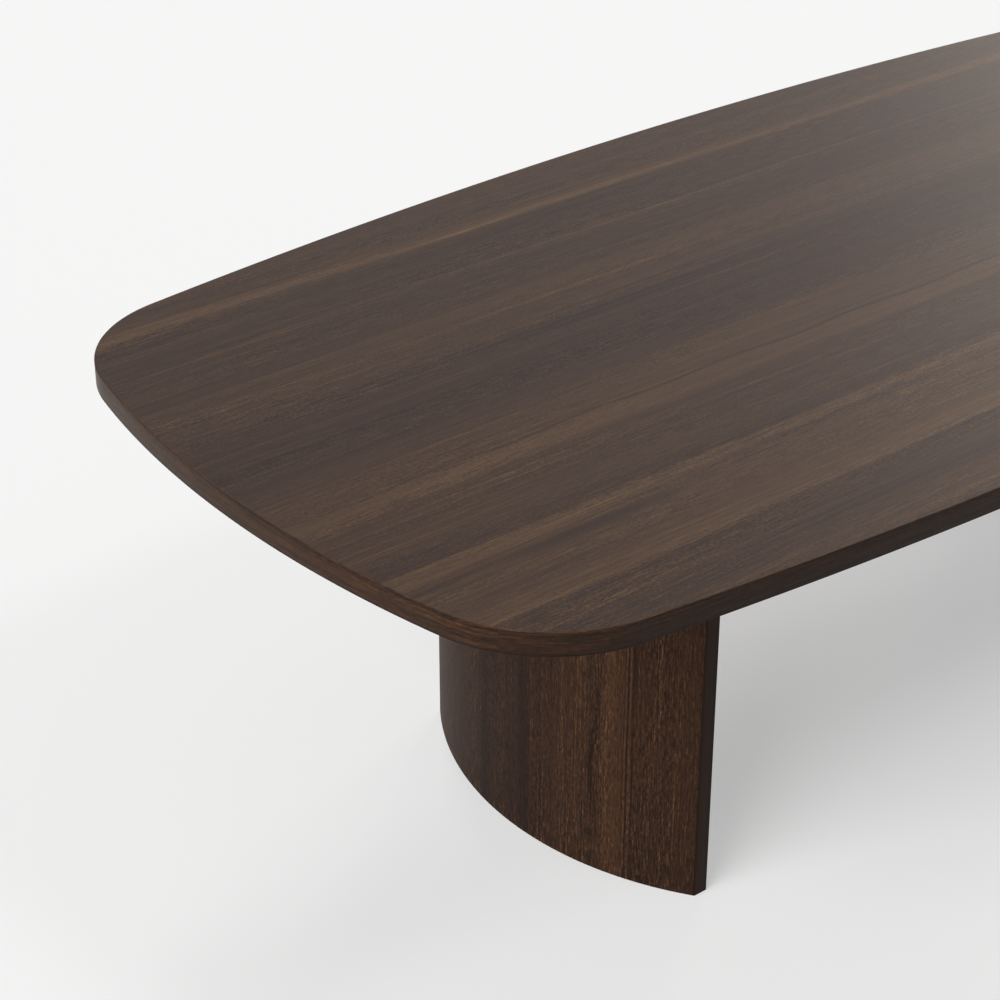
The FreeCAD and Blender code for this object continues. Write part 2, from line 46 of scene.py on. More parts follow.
# sizes that the pieces share with the solids
TABLE_HEIGHT = 0.740
UNDERSIDE = 0.706
HALF_LENGTH = 1.219
HALF_WIDTH = 0.611
SIDE_RADIUS = 7.990
END_RADIUS = 1.779
CORNER_RADIUS = 0.214
EDGE_BAND = 0.002
GLUE_LINE = 0.0001
FACE_VENEER = 0.001
SEAM_ANGLE = math.radians(34.1)
LEG_AXIS = 0.2324
LEG_OUTER_RADIUS = 0.5226
LEG_INNER_RADIUS = 0.5036
LEG_MIDDLE_RADIUS = 0.5131
LEG_VENEER = 0.001
LEG_HALF_WIDTH = 0.305
LEG_END_BAND = 0.002
FOOT_REVEAL = 0.001
CLEAT_INNER_RADIUS = 0.4586
CLEAT_BOTTOM = 0.666
FLAT_WASHER_BOTTOM = 0.6644
SPRING_WASHER_BOTTOM = 0.6624
BOLT_BOTTOM = 0.658
BOLT_CIRCLE = 0.4811
BOLT_STEP = math.asin(0.155 / BOLT_CIRCLE) / 3
BOLT_STEPS = (-3, -1, 1, 3)
CLEAT_SCREW_STEPS = (-2, 0, 2)
RAIL_OFFSET = 0.380
RAIL_SCREW_PITCH = 0.440
RAIL_SCREW_STEPS = (-2, -1, 0, 1, 2)
RAIL_SCREW_DROP = 0.003
LEVELLER_ANGLE = math.asin(0.2565 / LEG_MIDDLE_RADIUS)
STEM_BOTTOM = 0.00128
# sanded edges of the visible wood
EASED_EDGE = 0.0008
EASED_UNDER = 0.0003
# how finely curves are drawn: metres along the outline, and counts of points
OUTLINE_SPACING = 0.012
LEG_STATIONS = 65
RAY_POINTS = 9
EASING_POINTS = 6
DOME_POINTS = 7


# meshes

def strip_faces(rows, columns):
    """The quads of a grid whose points are numbered row by row."""
    corner = np.arange((rows - 1) * columns).reshape(rows - 1, columns)[:, :-1].ravel()
    return np.stack([corner, corner + 1, corner + columns + 1, corner + columns], axis=1)


def make_piece(name, grids, node, material, body="table", uv=None, caps=(), sharp=35):
    """A piece from grids of points, welded where the grids meet, with its faces turned outwards.

    Each grid is an array of rows by columns by xyz.
    A cap is a list of point numbers, counted through all the grids."""
    points = np.concatenate([grid.reshape(-1, 3) for grid in grids])
    starts = np.cumsum([0] + [grid.shape[0] * grid.shape[1] for grid in grids])
    quads = np.concatenate([start + strip_faces(*grid.shape[:2]) for start, grid in zip(starts, grids)])
    mesh = bpy.data.meshes.new(name)
    mesh.from_pydata(points.tolist(), [], quads.tolist() + [list(cap) for cap in caps])
    if uv is not None:
        corners = np.empty(len(mesh.loops), dtype=np.int32)
        mesh.loops.foreach_get("vertex_index", corners)
        mesh.uv_layers.new(name="grain").data.foreach_set("uv", uv.reshape(-1, 2)[corners].ravel())
    shell = bmesh.new()
    shell.from_mesh(mesh)
    bmesh.ops.remove_doubles(shell, verts=shell.verts, dist=1e-6)
    bmesh.ops.recalc_face_normals(shell, faces=shell.faces)
    shell.to_mesh(mesh)
    shell.free()
    mesh.shade_smooth()
    mesh.set_sharp_from_angle(angle=math.radians(sharp))
    piece = bpy.data.objects.new(name, mesh)
    bpy.context.collection.objects.link(piece)
    mesh.materials.append(material)
    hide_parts(node)
    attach(piece, body)


def run_length(first, second):
    """The distance along a line of points, from its first point."""
    return np.concatenate([[0.0], np.cumsum(np.hypot(np.diff(first), np.diff(second)))])


# the top's outline: shallow arcs for sides and ends, and corner arcs tangent to both

def corner_centre():
    """Where the side's and the end's circles, both drawn in by the corner's radius, cross."""
    to_side = SIDE_RADIUS - CORNER_RADIUS
    to_end = END_RADIUS - CORNER_RADIUS
    side_centre = SIDE_RADIUS - HALF_WIDTH
    end_centre = END_RADIUS - HALF_LENGTH
    apart = math.hypot(side_centre, end_centre)
    tangent = math.atan2(side_centre, -end_centre)
    tangent -= math.acos((to_side**2 + apart**2 - to_end**2) / (2 * to_side * apart))
    return to_side * math.cos(tangent), to_side * math.sin(tangent) - side_centre


CORNER_X, CORNER_Y = corner_centre()
END_TANGENT = math.atan2(CORNER_Y, CORNER_X + END_RADIUS - HALF_LENGTH)
SIDE_TANGENT = math.atan2(CORNER_Y + SIDE_RADIUS - HALF_WIDTH, CORNER_X)


def outline(facing, inset):
    """The point of the top's outline whose outward normal has this angle, moved in by an inset.

    Each arc's point is its centre plus its radius, less the inset, along the normal."""
    along = np.cos(facing)
    across = np.sin(facing)
    fold = np.arctan2(np.abs(across), np.abs(along))
    arcs = [fold <= END_TANGENT, fold <= SIDE_TANGENT]
    radius = np.select(arcs, [END_RADIUS, CORNER_RADIUS], SIDE_RADIUS)
    centre_x = np.select(arcs, [HALF_LENGTH - END_RADIUS, CORNER_X], 0.0)
    centre_y = np.select(arcs, [0.0, CORNER_Y], HALF_WIDTH - SIDE_RADIUS)
    x = np.sign(along) * centre_x + (radius - inset) * along
    y = np.sign(across) * centre_y + (radius - inset) * across
    return x, y


def outline_stations(first, last, spacing):
    """Normal angles between two seams, a set distance apart along the outline, with the distances."""
    fine = np.linspace(first, last, 20001)
    distance = run_length(*outline(fine, 0.0))
    count = int(round(distance[-1] / spacing)) + 1
    stops = np.linspace(0.0, distance[-1], count)
    return np.interp(stops, distance, fine), stops


def top_face():
    """The face veneer: rays from the table's middle line out to its outline, and back below."""
    facing, _ = outline_stations(0.0, 2 * math.pi, OUTLINE_SPACING)
    edge_x, edge_y = outline(facing, EDGE_BAND + GLUE_LINE)
    spine_x = np.clip(edge_x, -CORNER_X, CORNER_X)
    outwards = np.linspace(0, 1, RAY_POINTS)
    share = np.concatenate([outwards, outwards[::-1]])[:, None]
    height = np.repeat([TABLE_HEIGHT, TABLE_HEIGHT - FACE_VENEER], len(outwards))[:, None]
    x = spine_x + share * (edge_x - spine_x)
    grid = np.stack(np.broadcast_arrays(x, share * edge_y, height), axis=2)
    make_piece("top_face", [grid], "top_face_veneer", WALNUT_TOP)


def eased_section(width, low, high, under, over):
    """A strip's section as insets and heights: from the back along the bottom, up the outside and back.

    under and over are the radii of the two eased edges, each a quarter of a circle."""
    turn = np.linspace(0, math.pi / 2, EASING_POINTS)
    lower_inset = under * (1 - np.sin(turn))
    upper_inset = over * (1 - np.cos(turn))
    rise = under * (1 - np.cos(turn))
    fall = over * (1 - np.sin(turn))
    inset = np.concatenate([[width], lower_inset, upper_inset, [width, width]])
    height = np.concatenate([[low], low + rise, high - fall, [high, low]])
    return inset, height


def edge_strip(side, first, last, wood):
    """One strip of the edge band: its eased section carried along the outline between two seams."""
    facing, along = outline_stations(first, last, OUTLINE_SPACING)
    inset, height = eased_section(EDGE_BAND, UNDERSIDE, TABLE_HEIGHT, EASED_UNDER, EASED_EDGE)
    x, y = outline(facing[:, None], inset)
    grid = np.stack(np.broadcast_arrays(x, y, height), axis=2)
    uv = np.stack(np.broadcast_arrays(along[:, None], run_length(inset, height)), axis=2)
    columns = len(inset)
    last_row = (len(facing) - 1) * columns
    caps = (range(columns - 1), range(last_row, last_row + columns - 1))
    make_piece(
        f"{side}_edge_strip", [grid], f"{side}_edge_band", wood, uv=uv, caps=caps
    )


# the curved legs

def at_leg(points, side):
    """Moves points drawn about the left leg's axis to their leg. The right one is turned half round."""
    moved = points - np.array([LEG_AXIS, 0.0, 0.0])
    return moved if side == "left" else moved * np.array([-1.0, -1.0, 1.0])


def leg_skin(side, layer, outer, inner):
    """A veneer of the leg: a thin rectangle, in radius and height, carried round the leg's arc.

    Each radius runs to the same distance along Y, so that its ends are cut square to the table."""
    radius = np.array([outer, outer, inner, inner, outer])
    height = np.array([FOOT_REVEAL, UNDERSIDE, UNDERSIDE, FOOT_REVEAL, FOOT_REVEAL])
    share = np.linspace(-1, 1, LEG_STATIONS)[:, None]
    angle = share * np.arcsin((LEG_HALF_WIDTH - LEG_END_BAND) / radius)
    x = -radius * np.cos(angle)
    y = radius * np.sin(angle)
    grid = np.stack(np.broadcast_arrays(x, y, height), axis=2)
    uv = np.stack(np.broadcast_arrays(outer * (angle - angle[0, 0]), height), axis=2)
    corners = len(radius)
    last_row = (LEG_STATIONS - 1) * corners
    make_piece(
        f"{side}_leg_{layer}_skin",
        [at_leg(grid, side)],
        f"{side}_leg_{layer}_veneer",
        WALNUT_LEG,
        uv=uv,
        caps=(range(corners - 1), range(last_row, last_row + corners - 1)),
    )


def leg_end_strip(side, end, facing):
    """A leg's end band: an upright strip whose plan follows both radii and is eased at its outside edges.

    The plan runs from the back of the band out along the outer radius, over the end, and back along
    the inner radius."""
    turn = np.linspace(0, math.pi / 2, EASING_POINTS)
    back = [LEG_HALF_WIDTH - LEG_END_BAND]
    rising = LEG_HALF_WIDTH - EASED_EDGE * (1 - np.sin(turn))
    falling = LEG_HALF_WIDTH - EASED_EDGE * (1 - np.cos(turn))
    out = np.concatenate([back, rising, falling, back, back])
    outer_easing = EASED_EDGE * (1 - np.cos(turn))
    inner_easing = -EASED_EDGE * (1 - np.sin(turn))
    drawn_in = np.concatenate([[0], outer_easing, inner_easing, [0, 0]])
    half = len(turn) + 1
    radius = np.repeat([LEG_OUTER_RADIUS, LEG_INNER_RADIUS, LEG_OUTER_RADIUS], [half, half, 1])
    plan_x = drawn_in - np.sqrt(radius**2 - out**2)
    plan_y = facing * out
    height = np.array([FOOT_REVEAL, UNDERSIDE])[:, None]
    grid = np.stack(np.broadcast_arrays(plan_x, plan_y, height), axis=2)
    uv = np.stack(np.broadcast_arrays(run_length(plan_x, plan_y), height), axis=2)
    columns = len(plan_x)
    make_piece(
        f"{side}_leg_{end}_end",
        [at_leg(grid, side)],
        f"{side}_leg_{end}_end_band",
        WALNUT_LEG_END,
        uv=uv,
        caps=(range(columns - 1), range(columns, 2 * columns - 1)),
    )


# turned metal and nylon

def hexagon(angle):
    """How far a hexagon's side lies out at an angle, for a hexagon one from its middle to its flats."""
    return 1 / np.cos(np.mod(angle, math.pi / 3) - math.pi / 6)


def six_lobes(angle):
    """A star-shaped driver recess: a circle with six shallow lobes."""
    lobe_depth = 0.13
    return 1 + lobe_depth * np.cos(6 * angle)


def turned(rings, sides=36, key=hexagon, pitch=1.25 * MM, thread_depth=0.0):
    """A turned piece about +Z. Each ring gives a radius, a height, and its shares of key and thread.

    A point's radius is the ring's, times the key's shape by its share, less a saw-tooth that climbs
    one pitch a turn."""
    radius, height, keyed, threaded = np.array(rings, dtype=float).T[..., None]
    angle = np.linspace(0, 2 * math.pi, sides + 1)
    saw = np.abs(2 * np.mod(height / pitch - angle / (2 * math.pi), 1) - 1)
    reach = radius * (1 + keyed * (key(angle) - 1)) - threaded * thread_depth * saw
    return np.stack(np.broadcast_arrays(reach * np.cos(angle), reach * np.sin(angle), height), axis=2)


def plain(*points):
    """Rings without key or thread, from pairs of radius and height in millimetres."""
    return [(radius * MM, height * MM, 0, 0) for radius, height in points]


def socket(reach, depth):
    """Rings of a key socket that opens downwards, in millimetres.

    They make a shallow drill point, the floor, the walls and a small chamfer."""
    return [
        (0, (depth + 0.4) * MM, 0, 0),
        (reach * 0.96 * MM, depth * MM, 1, 0),
        (reach * MM, (depth - 0.15) * MM, 1, 0),
        (reach * MM, 0.2 * MM, 1, 0),
        (reach * 1.12 * MM, 0, 0.5, 0),
    ]


def domed(inner, outer, height):
    """Rings of a button head's dome, a quarter of an ellipse, in millimetres."""
    turn = np.linspace(0, math.pi / 2, DOME_POINTS)
    radius = inner + (outer - inner) * np.sin(turn)
    return plain(*zip(radius, height * (1 - np.cos(turn))))


def threaded(radius, low, high, pitch):
    """Rings of a thread that fades in over its first turn and out over its last, in millimetres."""
    heights = np.arange(low, high, pitch / 8)
    fade = np.clip(np.minimum(heights - low, high - heights) / pitch, 0, 1)
    return [(radius * MM, height * MM, 0, share) for height, share in zip(heights, fade)]


def stood(grid, x, y, z):
    """Moves a turned piece to a place."""
    return grid + np.array([x, y, z])


def round_leg(grid, radius, angle, height):
    """Stands a turned piece at an angle round the left leg's axis."""
    return stood(grid, -radius * math.cos(angle), radius * math.sin(angle), height)


def aimed_out(grid, radius, angle, height):
    """Lays a turned piece along the left leg's radius, its foot towards the axis."""
    x, y, z = np.moveaxis(grid, 2, 0)
    out = radius + z
    laid_x = -out * math.cos(angle) + y * math.sin(angle)
    laid_y = out * math.sin(angle) + y * math.cos(angle)
    return np.stack([laid_x, laid_y, x + height], axis=2)


def at_bolts(grid, side, height):
    """A turned piece at each of a leg's bolts."""
    angles = [step * BOLT_STEP for step in BOLT_STEPS]
    return [at_leg(round_leg(grid, BOLT_CIRCLE, angle, height), side) for angle in angles]


def leg_bolts(side):
    """Button-head bolts: a key socket, a domed head, a plain shank and a thread at the tip."""
    rings = socket(2.5, 2.6) + domed(3.7, 7.0, 3.6)
    rings += plain((7.0, 4.15), (6.8, 4.4), (4.0, 4.4), (4.0, 40.0))
    rings += threaded(4.0, 40.2, 62.0, 1.25) + plain((3.9, 62.2), (3.2, 63.0), (0, 63.0))
    bolt = turned(rings, thread_depth=0.7 * MM)
    grids = at_bolts(bolt, side, BOLT_BOTTOM)
    make_piece(f"{side}_leg_button_bolts", grids, f"{side}_leg_bolts", ZINC_PLATE)


def flat_washers(side):
    """Flat washers: a rectangle with eased corners, turned about the bolt."""
    rings = plain((4.2, 0.2), (4.4, 0), (7.8, 0), (8, 0.2))
    rings += plain((8, 1.4), (7.8, 1.6), (4.4, 1.6), (4.2, 1.4), (4.2, 0.2))
    grids = at_bolts(turned(rings), side, FLAT_WASHER_BOTTOM)
    make_piece(f"{side}_leg_plain_washers", grids, f"{side}_leg_flat_washers", ZINC_PLATE)


def spring_washers(side):
    """Split spring washers: an eased rectangle carried almost once round the bolt.

    The gap between its ends slants, because each point's angle grows with its height."""
    radius = np.array([4.2, 7.2, 7.4, 7.4, 7.2, 4.2, 4.2]) * MM
    height = np.array([0.0, 0.0, 0.2, 1.8, 2.0, 2.0, 0.0]) * MM
    gap = math.radians(9)
    slant = math.radians(16) / (2 * MM)
    angle = np.linspace(gap, 2 * math.pi - gap, 49)[:, None] + slant * (height - 1 * MM)
    ring = np.stack(np.broadcast_arrays(radius * np.cos(angle), radius * np.sin(angle), height), axis=2)
    grids = at_bolts(ring, side, SPRING_WASHER_BOTTOM)
    rows, columns, _ = ring.shape
    caps = []
    for number in range(len(grids)):
        first = number * rows * columns
        last = first + (rows - 1) * columns
        caps += [range(first, first + columns - 1), range(last, last + columns - 1)]
    make_piece(
        f"{side}_leg_split_washers",
        grids,
        f"{side}_leg_spring_washers",
        ZINC_PLATE,
        caps=caps,
    )


def cleat_screws(side):
    """Flush-head wood screws along the leg's radius: a lobed recess, a flat head and a coarse thread."""
    rings = socket(1.9, 1.6) + plain((4.8, 0), (5.0, 0.2), (5.0, 3.0), (2.5, 3.0), (2.5, 24.0))
    rings += threaded(2.5, 24.2, 53.0, 2.2) + plain((2.4, 53.2), (0.6, 55.0), (0, 55.0))
    screw = turned(rings, key=six_lobes, pitch=2.2 * MM, thread_depth=0.7 * MM)
    mid_height = (CLEAT_BOTTOM + UNDERSIDE) / 2
    angles = [step * BOLT_STEP for step in CLEAT_SCREW_STEPS]
    laid = [aimed_out(screw, CLEAT_INNER_RADIUS, angle, mid_height) for angle in angles]
    grids = [at_leg(grid, side) for grid in laid]
    make_piece(f"{side}_cleat_wood_screws", grids, f"{side}_cleat_screws", ZINC_PLATE)


def rail_screws(rail, y):
    """Pan-head screws up through a rail: a lobed recess, a domed head and a coarse thread."""
    rings = socket(2.2, 1.6) + domed(3.4, 6.0, 2.6) + plain((6.0, 3.0), (3.0, 3.0), (3.0, 6.0))
    rings += threaded(3.0, 6.2, 18.6, 2.4) + plain((2.9, 18.8), (0.6, 20.0), (0, 20.0))
    screw = turned(rings, key=six_lobes, pitch=2.4 * MM, thread_depth=0.8 * MM)
    bottom = UNDERSIDE - RAIL_SCREW_DROP
    grids = [stood(screw, step * RAIL_SCREW_PITCH, y, bottom) for step in RAIL_SCREW_STEPS]
    make_piece(f"{rail}_rail_pan_screws", grids, f"{rail}_rail_screws", ZINC_PLATE)


def leveller(side, end, angle):
    """A glide pad, a moulded ring with a rounded foot, and the threaded stem that turns in its socket."""
    name = f"{side}_{end}_leveller"
    turn = np.linspace(0, math.pi / 2, EASING_POINTS)
    foot = zip(6.2 + 0.8 * np.sin(turn), 0.8 * (1 - np.cos(turn)))
    rings = plain((2.2, 0.3), (2.45, 0), *foot, (7.0, 3.6), (6.6, 4.0), (3.3, 4.0))
    rings += plain((3.08, 3.8), (3.08, 2.86), (4.58, 2.86), (4.58, 1.2), (2.2, 1.2), (2.2, 0.3))
    pad = at_leg(round_leg(turned(rings), LEG_MIDDLE_RADIUS, angle, 0), side)
    make_piece(f"{name}_glide", [pad], f"{name}_pad", GLIDE_NYLON, body=f"{name}_pad")
    rings = socket(1.5, 3.0) + plain((4.25, 0), (4.5, 0.25), (4.5, 1.25), (4.25, 1.5))
    rings += plain((3.0, 1.5), (3.0, 2.0))
    rings += threaded(3.0, 2.2, 26.4, 1.0) + plain((2.9, 26.5), (2.3, 27.12), (0, 27.12))
    screw = turned(rings, pitch=1.0 * MM, thread_depth=0.55 * MM)
    stem = at_leg(round_leg(screw, LEG_MIDDLE_RADIUS, angle, STEM_BOTTOM), side)
    make_piece(f"{name}_screw", [stem], f"{name}_stem", ZINC_PLATE, body=f"{name}_stem")


# materials

def add_node(tree, kind, inputs=None, **settings):
    """Adds a shader node, sets its options, and sets or links its inputs by name or number."""
    made = tree.nodes.new(kind)
    for key, setting in settings.items():
        setattr(made, key, setting)
    for key, given in (inputs or {}).items():
        if isinstance(given, bpy.types.NodeSocket):
            tree.links.new(given, made.inputs[key])
        else:
            made.inputs[key].default_value = given
    return made


def new_finish(name, **sockets):
    """A material with its surface shader, whose even values are set on the shader's own sockets."""
    material = bpy.data.materials.new(name)
    material.use_nodes = True
    shader = material.node_tree.nodes["Principled BSDF"]
    for key, given in sockets.items():
        shader.inputs[key.replace("_", " ")].default_value = given
    return material, material.node_tree, shader


def calc(tree, operation, first, second=0.0):
    """One step of arithmetic on two numbers or outputs."""
    return add_node(tree, "ShaderNodeMath", {0: first, 1: second}, operation=operation).outputs[0]


def spread(tree, value, low, high, to_low=0.0, to_high=1.0):
    """Maps a range of values to another one, held at its ends."""
    ends = {"Value": value, "From Min": low, "From Max": high, "To Min": to_low, "To Max": to_high}
    return add_node(tree, "ShaderNodeMapRange", ends).outputs[0]


def ramp(tree, factor, stops):
    """A colour ramp from a list of places and colours, where one number means a grey."""
    made = add_node(tree, "ShaderNodeValToRGB", {"Fac": factor})
    elements = made.color_ramp.elements
    while len(elements) < len(stops):
        elements.new(0.5)
    for element, (position, colour) in zip(elements, stops):
        element.position = position
        element.color = (*colour, 1) if isinstance(colour, tuple) else (colour, colour, colour, 1)
    return made.outputs["Color"]


def across_leaf(tree, place, stops):
    """A tone that changes across a leaf of veneer, from a list of places in metres and tones."""
    first = stops[0][0]
    last = stops[-1][0]
    share = spread(tree, place, first, last)
    return ramp(tree, share, [((at - first) / (last - first), tone) for at, tone in stops])


def stretched_noise(tree, place, scale, detail=2.0, roughness=0.5):
    """Noise whose cells are drawn out: the scale is in cells per metre along and across the grain."""
    drawn = add_node(tree, "ShaderNodeVectorMath", {0: place, 1: scale}, operation="MULTIPLY")
    settings = {"Vector": drawn.outputs[0], "Scale": 1.0, "Detail": detail, "Roughness": roughness}
    return add_node(tree, "ShaderNodeTexNoise", settings).outputs["Fac"]


def swing(tree, noise, depth):
    """Noise as a swing about nothing, up to about this depth."""
    return calc(tree, "MULTIPLY", calc(tree, "SUBTRACT", noise, 0.5), 2 * depth)


def total(tree, terms):
    """The sum of several numbers or outputs."""
    added = terms[0]
    for term in terms[1:]:
        added = calc(tree, "ADD", added, term)
    return added


def ridges(tree, noise, depth):
    """Sparse lines: light where the noise is high, dark where it is low, and nothing between."""
    light = spread(tree, noise, *LIGHT_LINE_NOISE, 0.0, depth)
    dark = spread(tree, noise, *DARK_LINE_NOISE, -depth, 0.0)
    return calc(tree, "ADD", light, dark)


def add_relief(tree, shader, height, strength, depth):
    """Fine relief on a surface, from an output that says how high it is."""
    bump = add_node(tree, "ShaderNodeBump", {"Strength": strength, "Distance": depth, "Height": height})
    tree.links.new(bump.outputs[0], shader.inputs["Normal"])


def smoke_line(tree, along, across, middle, reach, depth, sway=0.0, wave=1.0):
    """A dark line that sways along the grain as a sine.

    It is deepest in its middle and gone at its reach along and across: it fades with the sum of the
    squares of both shares."""
    phase = calc(tree, "MULTIPLY", along, 2 * math.pi / wave)
    line = calc(tree, "ADD", calc(tree, "MULTIPLY", calc(tree, "SINE", phase), sway), middle[1])
    lengthwise = calc(tree, "DIVIDE", calc(tree, "SUBTRACT", along, middle[0]), reach[0])
    sideways = calc(tree, "DIVIDE", calc(tree, "SUBTRACT", across, line), reach[1])
    squares = [calc(tree, "MULTIPLY", offset, offset) for offset in (lengthwise, sideways)]
    return spread(tree, total(tree, squares), 0.0, 1.0, -depth, 0.0)


def veneer(
    name,
    grain,
    streaks,
    colours,
    layers,
    fleck_zones,
    lines=(),
    lengthwise=(),
    border=(),
    wander=0.008,
    figure=(0.4, 1.7),
    gloss=(0.36, 0.48),
    **sockets,
):
    """Sliced dark veneer. Its tone is a list of streaks that wander, fray and fade, plus finer grain.

    streaks gives tones across the leaf, and colours the colour of each tone.
    grain gives the coordinate output and which of its axes run along and across the grain.
    layers gives each layer's cells per metre and its depth.
    fleck_zones says where the light flecks are strong.
    figure says how weak and how strong the short grain is, from one part of the leaf to another.
    lengthwise, where given, is a list of tones along the leaf; on the edge strips and the legs it is
    painted light and shade.
    border, where given, is a list of tones across the leaf that does not wander; on the edge strips it is
    painted light and shade round the section."""
    material, tree, shader = new_finish(name, **sockets)
    output, along_axis, across_axis = grain
    source = add_node(tree, "ShaderNodeTexCoord").outputs[output]
    axes = add_node(tree, "ShaderNodeSeparateXYZ", {"Vector": source}).outputs
    along = axes[along_axis]
    across = axes[across_axis]
    leaf = add_node(tree, "ShaderNodeCombineXYZ", {"X": along, "Y": across}).outputs[0]
    slow = swing(tree, stretched_noise(tree, leaf, SLOW_WANDER), wander)
    quick = swing(tree, stretched_noise(tree, leaf, QUICK_WANDER), wander / 5)
    bent_across = total(tree, [across, slow, quick])
    bent = add_node(tree, "ShaderNodeCombineXYZ", {"X": along, "Y": bent_across}).outputs[0]
    noise = {}
    depth = {}
    for layer, (scale, depth[layer]) in layers.items():
        noise[layer] = stretched_noise(tree, bent, (*scale, 0.0), detail=2.5, roughness=0.6)
    frayed = calc(tree, "ADD", bent_across, swing(tree, noise["fibres"], depth["fibres"]))
    patches = stretched_noise(tree, leaf, STREAK_PATCHES)
    strength = spread(tree, patches, *PATCH_NOISE, *STREAK_STRENGTH)
    streak = calc(tree, "SUBTRACT", across_leaf(tree, frayed, streaks), MIDDLE_TONE)
    terms = [calc(tree, "MULTIPLY", streak, strength), MIDDLE_TONE]
    for place, stops in ((along, lengthwise), (across, border)):
        if stops:
            terms.append(calc(tree, "SUBTRACT", across_leaf(tree, place, stops), MIDDLE_TONE))
    terms.append(swing(tree, noise["bands"], depth["bands"]))
    terms.append(ridges(tree, noise["lines"], depth["lines"]))
    hatch = spread(tree, noise["hatch"], *HATCH_NOISE, -depth["hatch"], depth["hatch"])
    ticks = swing(tree, noise["ticks"], depth["ticks"])
    figured = spread(tree, stretched_noise(tree, bent, FIGURE_PATCHES), *FIGURE_NOISE, *figure)
    terms.append(calc(tree, "MULTIPLY", calc(tree, "ADD", hatch, ticks), figured))
    terms += [smoke_line(tree, along, bent_across, *details) for details in lines]
    flecks = spread(tree, noise["flecks"], *FLECK_NOISE)
    zone = across_leaf(tree, bent_across, fleck_zones)
    terms.append(calc(tree, "MULTIPLY", calc(tree, "MULTIPLY", flecks, zone), depth["flecks"]))
    pores = spread(tree, noise["pores"], *PORE_NOISE, 1.0, 0.0)
    terms.append(calc(tree, "MULTIPLY", pores, -depth["pores"]))
    tree.links.new(ramp(tree, total(tree, terms), colours), shader.inputs["Base Color"])
    tree.links.new(spread(tree, noise["lines"], *GLOSS_NOISE, *gloss), shader.inputs["Roughness"])
    relief = calc(tree, "SUBTRACT", noise["ticks"], pores)
    add_relief(tree, shader, relief, strength=0.3, depth=0.00006)
    return material


# the tone that a streak fades to, and how weak and strong streaks are
MIDDLE_TONE = 0.38
STREAK_STRENGTH = (0.7, 1.05)
# cells per metre along and across the grain
SLOW_WANDER = (1.0, 2.6, 0.0)
QUICK_WANDER = (6.0, 9.0, 0.0)
STREAK_PATCHES = (1.4, 16.0, 0.0)
FIGURE_PATCHES = (1.3, 18.0, 0.0)
# the stretch of noise over which each mark of the grain comes or goes
PATCH_NOISE = (0.35, 0.65)
FIGURE_NOISE = (0.40, 0.68)
HATCH_NOISE = (0.40, 0.60)
LIGHT_LINE_NOISE = (0.56, 0.70)
DARK_LINE_NOISE = (0.30, 0.44)
FLECK_NOISE = (0.54, 0.66)
PORE_NOISE = (0.30, 0.44)
GLOSS_NOISE = (0.25, 0.75)
# smoked walnut from its darkest lines to its tan streaks, cooler on the top than on the legs
SMOKED_TOP = [
    (0.0, (0.021, 0.012, 0.009)),
    (0.3, (0.041, 0.023, 0.0165)),
    (0.5, (0.061, 0.0345, 0.021)),
    (0.7, (0.088, 0.050, 0.0275)),
    (1.0, (0.136, 0.081, 0.045)),
]
# the legs' walnut is the top's made darker, about half as bright in its middle tones: painted shade for
# the lower light on the legs
SMOKED_LEG_IN_PAINTED_SHADE = [
    (0.0, (0.0092, 0.0050, 0.0034)),
    (0.3, (0.0200, 0.0100, 0.0060)),
    (0.5, (0.0300, 0.0143, 0.0078)),
    (0.7, (0.0465, 0.0218, 0.0110)),
    (1.0, (0.0920, 0.0490, 0.0270)),
]
SMOKED_EDGE = [
    (0.0, (0.0085, 0.0047, 0.0029)),
    (0.3, (0.022, 0.0108, 0.0059)),
    (0.5, (0.038, 0.0173, 0.0085)),
    (0.7, (0.059, 0.0285, 0.0140)),
    (1.0, (0.100, 0.0575, 0.0340)),
]
# tones across the top, from the front edge to the back one
TOP_STREAKS = [
    (-0.611, 0.38), (-0.560, 0.36), (-0.556, 0.46), (-0.548, 0.31), (-0.500, 0.31), (-0.494, 0.42),
    (-0.488, 0.29), (-0.454, 0.30), (-0.448, 0.72), (-0.438, 0.53), (-0.424, 0.64), (-0.414, 0.46),
    (-0.324, 0.44), (-0.314, 0.64), (-0.299, 0.57), (-0.292, 0.25), (-0.250, 0.34), (-0.160, 0.36),
    (-0.152, 0.54), (-0.126, 0.55), (-0.104, 0.45), (-0.040, 0.42), (-0.010, 0.23), (0.060, 0.20),
    (0.145, 0.24), (0.165, 0.39), (0.252, 0.43), (0.264, 0.26), (0.350, 0.27), (0.458, 0.26),
    (0.470, 0.68), (0.496, 0.35),
]
WALNUT_TOP = veneer(
    "smoked_walnut_top",
    ("Object", "X", "Y"),
    TOP_STREAKS,
    SMOKED_TOP,
    {
        "bands": ((0.6, 45.0), 0.17),
        "fibres": ((7.0, 240.0), 0.014),
        "lines": ((1.4, 150.0), 0.25),
        "hatch": ((26.0, 280.0), 0.090),
        "ticks": ((170.0, 340.0), 0.44),
        "flecks": ((16.0, 220.0), 0.14),
        "pores": ((40.0, 900.0), 0.10),
    },
    [(-0.611, 0.7), (-0.40, 0.8), (-0.25, 0.5), (0.0, 0.2), (0.25, 0.5), (0.35, 1.0), (0.611, 1.0)],
    lines=[
        ((-0.20, -0.113), (1.20, 0.004), 0.30, 0.003, 0.26),
        ((0.0, 0.356), (1.30, 0.004), -0.26, 0.003, 0.90),
        ((-0.90, -0.346), (0.17, 0.013), 0.26),
    ],
    IOR=1.2,
)
